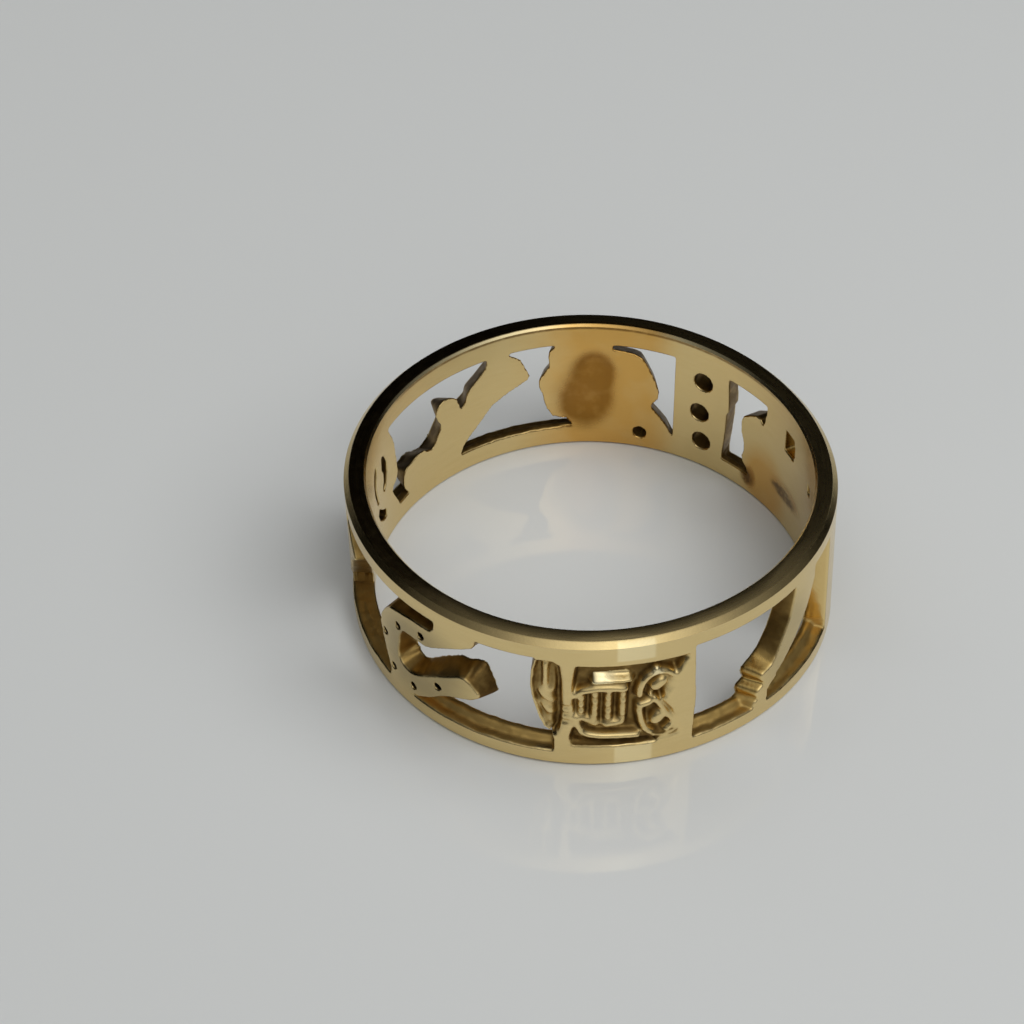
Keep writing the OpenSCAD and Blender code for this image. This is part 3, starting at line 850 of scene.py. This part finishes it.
def new_group(name, inputs, outputs):
    """Starts a node group, all of whose sockets are plain numbers."""
    group = bpy.data.node_groups.new(name, "ShaderNodeTree")
    for label, value in inputs.items():
        socket = group.interface.new_socket(name=label, in_out="INPUT", socket_type="NodeSocketFloat")
        socket.default_value = value
    for label in outputs:
        group.interface.new_socket(name=label, in_out="OUTPUT", socket_type="NodeSocketFloat")
    return group, group.nodes.new("NodeGroupInput").outputs, group.nodes.new("NodeGroupOutput")


def maths(tree, operation, *values):
    return add_node(tree, "Math", dict(enumerate(values)), operation=operation)[0]


def scaled(tree, vector, factor):
    return add_node(tree, "VectorMath", {0: vector, "Scale": factor}, operation="SCALE")[0]


def in_mm(tree):
    """The place that is being shaded, in millimetres."""
    return scaled(tree, add_node(tree, "TexCoord", {})["Object"], PER_METRE)


def pattern(tree, vector, detail):
    return add_node(tree, "TexNoise", {"Vector": vector, "Scale": 1, "Detail": detail})["Fac"]


# %% Streaks and grain
worn_skin, given, result = new_group(
    "worn_skin", {"Streaks per mm": 9, "Grain per mm": 12}, ["Streaks", "Height"])
x, y, z = add_node(worn_skin, "SeparateXYZ", {0: in_mm(worn_skin)})
level_place = add_node(worn_skin, "CombineXYZ", {0: x, 1: y})[0]
from_axis = add_node(worn_skin, "VectorMath", {0: level_place}, operation="LENGTH")["Value"]
across = maths(worn_skin, "MULTIPLY", maths(worn_skin, "ADD", z, from_axis), given["Streaks per mm"])
streaks = pattern(worn_skin, add_node(worn_skin, "CombineXYZ", {0: x, 1: y, 2: across})[0], 4)
grains = pattern(worn_skin, scaled(worn_skin, in_mm(worn_skin), given["Grain per mm"]), 2)
rise = maths(worn_skin, "ADD", streaks, maths(worn_skin, "MULTIPLY", grains, 0.5))
feed(worn_skin, result, {"Streaks": streaks, "Height": rise})
print("group", worn_skin.name, len(worn_skin.nodes), "nodes")

# %% A patchy mask
patchy, given, result = new_group("patchy", {"Mask": 0, "Patches per mm": 1.5, "Uneven": 0.6}, ["Mask"])
clouds = pattern(patchy, scaled(patchy, in_mm(patchy), given["Patches per mm"]), 4)
swing = maths(patchy, "MULTIPLY", maths(patchy, "SUBTRACT", clouds, 0.5), 2)
swing = maths(patchy, "ADD", maths(patchy, "MULTIPLY", swing, given["Uneven"]), 1)
kept = maths(patchy, "MULTIPLY", given["Mask"], swing)
feed(patchy, result, {"Mask": add_node(patchy, "Clamp", {"Value": kept})[0]})
print("group", patchy.name, len(patchy.nodes), "nodes")

# %% [markdown]
# The other three groups find a place on the ring, as on the flat drawing: the angle and height of the point
# being shaded, a round spot about a given place, and the side walls of the gaps between the rails. An image
# would need the mesh unwrapped first; a formula doesn't.

# %% Places on the unrolled band
def ramp_up(tree, value, start, end):
    """0 at start and 1 at end, with soft ends."""
    inputs = {"Value": value, "From Min": start, "From Max": end}
    return add_node(tree, "MapRange", inputs, interpolation_type="SMOOTHSTEP")["Result"]


def window(tree, value, rise, fall):
    """1 between a soft rise and a soft fall."""
    return maths(tree, "MULTIPLY", ramp_up(tree, value, *rise), ramp_up(tree, value, *fall))


strip_place, given, result = new_group("strip_place", {}, ["Angle", "Height"])
x, y, z = add_node(strip_place, "SeparateXYZ", {0: in_mm(strip_place)})
turned = maths(strip_place, "MULTIPLY", maths(strip_place, "ARCTAN2", y, x), math.degrees(1))
behind = maths(strip_place, "MULTIPLY", maths(strip_place, "LESS_THAN", turned, 0), 360)
feed(strip_place, result, {"Angle": maths(strip_place, "ADD", turned, behind), "Height": z})

SPOT = {"Angle": 0, "Height": 0, "Mid angle": 0, "Mid height": 3, "Half angle": 10, "Half height": 1}
round_spot, given, result = new_group("round_spot", SPOT, ["Mask"])
squares = []
for axis in ("angle", "height"):
    off = maths(round_spot, "SUBTRACT", given[axis.capitalize()], given["Mid " + axis])
    share = maths(round_spot, "DIVIDE", off, given["Half " + axis])
    squares.append(maths(round_spot, "MULTIPLY", share, share))
far = maths(round_spot, "SQRT", maths(round_spot, "ADD", *squares))
feed(round_spot, result, {"Mask": ramp_up(round_spot, far, 1, 0.4)})

gap_side, given, result = new_group("gap_side", {"Wall": 0, "Height": 0}, ["Mask"])
within = window(gap_side, given["Wall"], (0.02, 0.09), (0.98, 0.86))
between_rails = window(gap_side, given["Height"], (0.3, 0.6), (5.75, 5.5))
feed(gap_side, result, {"Mask": maths(gap_side, "MULTIPLY", within, between_rails)})
print("groups", strip_place.name, round_spot.name, gap_side.name)

# %% [markdown]
# The metal is layered as a painter would glaze it, each tint over the one before. Over clean gold come
# painted highlights on the inner top edge, the roll and the ribbon's knob, and a painted lighter reflection
# on the front of the rails; the darker outer faces of the horseshoe and the wand; the orange left by a torch
# behind the clover and the plate, the brown stain in the hollow, black marks, the deeper gold of the gap
# walls where light bounces twice; dirt with painted shade in the gaps, painted shade in the nail holes, and
# the tarnish of the top face, painted darker towards the back and the left as a dark reflection. Dirt and
# shade, stain and scuffs also make the metal rougher.

# %% Helpers of the gold
def new_material(thing, name):
    """Gives a piece a new material, and returns its tree and its shader."""
    material = bpy.data.materials.new(name)
    material.use_nodes = True
    thing.data.materials.append(material)
    return material.node_tree, material.node_tree.nodes["Principled BSDF"]


def chain(operation, values):
    """Takes any number of values together, two by two."""
    value = values[0]
    for further in values[1:]:
        value = maths(tree, operation, value, further)
    return value


def times(*values):
    return chain("MULTIPLY", values)


def plus(*values):
    return chain("ADD", values)


def most(*values):
    return chain("MAXIMUM", values)


def attribute(name):
    return add_node(tree, "Attribute", {}, attribute_name=name)["Fac"]


def spot_at(mid_angle, mid_height, half_angle, half_height):
    inputs = {"Angle": angle_at, "Height": height_at, "Mid angle": mid_angle, "Mid height": mid_height,
              "Half angle": half_angle, "Half height": half_height}
    return add_node(tree, "Group", inputs, node_tree=round_spot)["Mask"]


def mottled(value, patches, uneven, full=1):
    inputs = {"Mask": value, "Patches per mm": patches, "Uneven": uneven}
    return times(add_node(tree, "Group", inputs, node_tree=patchy)["Mask"], full)


def tint(below, colour, amount):
    return add_node(tree, "Mix", {"Factor": amount, "A": below, "B": colour}, data_type="RGBA")["Result"]


# %% Places on the gold
tree, shader = new_material(ring, "cast_gold")
finish = add_node(tree, "Group", {}, node_tree=worn_skin)
band_place = add_node(tree, "Group", {}, node_tree=strip_place)
angle_at, height_at, wall_at = band_place["Angle"], band_place["Height"], attribute("wall")
side_at = add_node(tree, "Group", {"Wall": wall_at, "Height": height_at}, node_tree=gap_side)["Mask"]
plate_end = times(window(tree, angle_at, (335, 338), (356, 350)), ramp_up(tree, height_at, 1, 1.3))
side_at = times(side_at, plus(1, times(plate_end, -0.6)))
on_inside = ramp_up(tree, wall_at, 0.35, 0.2)
on_outside = ramp_up(tree, wall_at, 0.9, 0.97)
top_face = ramp_up(tree, height_at, HEIGHT - 0.03, HEIGHT - 0.01)
warm = most(window(tree, angle_at, (62, 74), (114, 86)), spot_at(33, 1.2, 12, 2.4))
smudges = most(spot_at(39.5, 0.95, 3.4, 0.75), times(spot_at(22, 1.9, 10, 0.7), 0.55))
black_marks = most(spot_at(40.5, 0.85, 3, 0.5), spot_at(24, 1.75, 8, 0.4))
# the outer faces of the horseshoe and the wand are made darker
darker_face_spots = most(spot_at(227, 3, 19, 2.9), times(spot_at(321, 3, 11, 2.9), 0.6))
# a painted lighter reflection on the front of the rails
rail_sheen_patch = window(tree, angle_at, (274.6, 275.4), (284, 283))
rails_only = plus(ramp_up(tree, height_at, 5.45, 5.55), ramp_up(tree, height_at, 1, 0.9))
# the back and the left, where the top face is painted darker as its dark reflection
far_side = window(tree, angle_at, (75, 120), (255, 215))
back_part = window(tree, angle_at, (15, 45), (165, 140))
# the inner top edge, where a bright highlight line is painted
inner_edge = times(ramp_up(tree, wall_at, 0.14, 0.11), ramp_up(tree, height_at, HEIGHT - 0.11, HEIGHT - 0.09))
under_edge = window(tree, height_at, (HEIGHT - 0.26, HEIGHT - 0.17), (HEIGHT - 0.09, HEIGHT - 0.12))
# painted highlights on the roll above the barrel and on the ribbon's knob
painted_highlight_spots = most(spot_at(270.8, 4.45, 5.5, 0.3), spot_at(284.3, 4.75, 2.2, 0.4))
print("places found with", len(tree.nodes), "nodes")

# %% How much of each tint
# painted highlights and a painted reflection, all in a pale gold
painted_highlight = most(times(on_outside, rail_sheen_patch, rails_only, 0.7), inner_edge, times(on_outside, painted_highlight_spots))
darker_faces = mottled(times(on_outside, darker_face_spots), 1, 0.3, 0.8)
torch = mottled(times(on_inside, warm), 0.7, 0.5, 0.9)
stain = mottled(times(on_inside, most(attribute("hollow"), smudges)), 1.3, 0.55, 0.85)
marks = mottled(times(on_inside, black_marks), 5, 1.6, 0.75)
deep_gold = mottled(side_at, 3, 0.2, 0.95)
# dirt in the gaps, with painted shade
grime_and_shade = mottled(times(side_at, attribute("dirt_and_shade")), 2.5, 0.5, 0.85)
# painted shade, near black, in the nail holes
nail_hole_shade = times(most(*(spot_at(*nail, 2.2, 0.36) for nail in NAILS)), plus(1, times(on_outside, -1)), 0.95)
dirt_line = mottled(times(on_inside, back_part, under_edge), 3, 0.8, 0.75)
# tarnish on the top face, with a painted darker reflection towards the back and the left
tarnish_and_dark_reflection = mottled(times(top_face, plus(0.2, times(far_side, 0.75))), 2.5, 0.4, 0.95)
ledges = mottled(times(side_at, ramp_up(tree, height_at, 1.25, 1.05)), 2.5, 0.3)
scuffs = mottled(top_face, 5, 0.9, 0.6)
print("masks made with", len(tree.nodes), "nodes")

# %% The gold
TINTS = [
    ((1, 0.85, 0.5), painted_highlight), ((0.42, 0.33, 0.17), darker_faces), ((0.72, 0.41, 0.1), torch),
    ((0.34, 0.15, 0.02), stain), ((0.08, 0.04, 0.01), marks), ((0.68, 0.46, 0.15), deep_gold),
    ((0.1, 0.05, 0.012), grime_and_shade), ((0.02, 0.012, 0.005), nail_hole_shade), ((0.15, 0.07, 0.015), dirt_line),
    ((0.12, 0.08, 0.035), tarnish_and_dark_reflection)]
colour = tint((0.82, 0.64, 0.315, 1), (0.76, 0.575, 0.26, 1), finish["Streaks"])
for glaze, amount in TINTS:
    colour = tint(colour, (*glaze, 1), amount)
ROUGHER = [(finish["Streaks"], 0.16), (grime_and_shade, 0.3), (stain, 0.2), (ledges, 0.3), (scuffs, 0.12)]
rough = plus(0.13, *(times(value, share) for value, share in ROUGHER))
unevenness = plus(finish["Height"], times(scuffs, 0.3), times(ledges, 0.4))
bump = add_node(tree, "Bump", {"Strength": 0.5, "Distance": 0.000008, "Height": unevenness})["Normal"]
feed(tree, shader, {"Metallic": 1, "Base Color": colour, "Roughness": rough, "Normal": bump})
print("cast_gold has", len(tree.nodes), "nodes")

# %% [markdown]
# ## Table and light
# The ring lies on a glossy pale board, in which its front is mirrored faintly. What the gold shows is the
# room: brightest over the camera, which gives the short bright places on the relief and the rims, and dark
# behind the ring, which is why its level faces look almost black. The lamps light the board alone and are
# hidden from the mirror of the metal: a wide one at the right, one overhead, a small one near at the right
# and one at the left.

# %% Floor
bpy.ops.mesh.primitive_plane_add(size=1.6)
floor = bpy.context.object
floor.name = "floor"
board, board_shader = new_material(floor, "pale_board")
feed(board, board_shader, {"Base Color": (0.72, 0.735, 0.73, 1), "Roughness": 0.05, "IOR": 1.6})
print("board", round(floor.dimensions.x, 2), "m wide")

# %% The room, darkest where the level faces look
BRIGHTEST = (0.2, -0.67, 0.715)
SKY = [  # nearness to the brightest place, light
    (0, 0.004), (0.1, 0.008), (0.24, 0.05), (0.5, 0.1), (0.64, 0.17), (0.76, 0.28), (0.83, 0.45),
    (0.91, 0.68), (0.985, 1.05), (1, 1.7)]
world = bpy.data.worlds.new("studio")
bpy.context.scene.world = world
world.use_nodes = True
room = world.node_tree
toward = add_node(room, "TexCoord", {})["Generated"]
nearness = add_node(room, "VectorMath", {0: toward, 1: BRIGHTEST}, operation="DOT_PRODUCT")["Value"]
sky = room.nodes.new("ShaderNodeValToRGB")
for k, (position, glow) in enumerate(SKY):
    stop = sky.color_ramp.elements[k] if k < 2 else sky.color_ramp.elements.new(position)
    stop.position = position
    stop.color = (glow, glow, 0.98 * glow, 1)
feed(room, sky, {"Fac": nearness})
feed(room, room.nodes["Background"], {"Color": sky.outputs["Color"], "Strength": 1})
bpy.context.scene.view_settings.view_transform = "Standard"
print("room with", len(SKY), "steps of light")

# %% Lamps
LAMPS = {  # place, side, watts
    "wide": ((0.2, -0.06, 0.34), 0.4, 0.52),
    "ceiling": ((0.06, 0.08, 0.48), 0.6, 0.61),
    "near_right": ((0.09, -0.03, 0.1), 0.06, 0.02),
    "left": ((-0.2, 0.16, 0.2), 0.3, 0.12)}
for name, (place, side, watts) in LAMPS.items():
    bpy.ops.object.light_add(type="AREA", location=place)
    lamp = bpy.context.object
    lamp.name = name
    lamp.data.size = side
    lamp.data.energy = watts
    lamp.rotation_euler = Vector(place).to_track_quat("Z", "Y").to_euler()
    lamp.visible_glossy = False
print("lamps", *LAMPS)

# %% [markdown]
# ## Hand over
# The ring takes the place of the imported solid, and the floor is only a stage.

# %% Tie the ring to the model and finish
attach(ring, "root")
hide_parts(BAND)
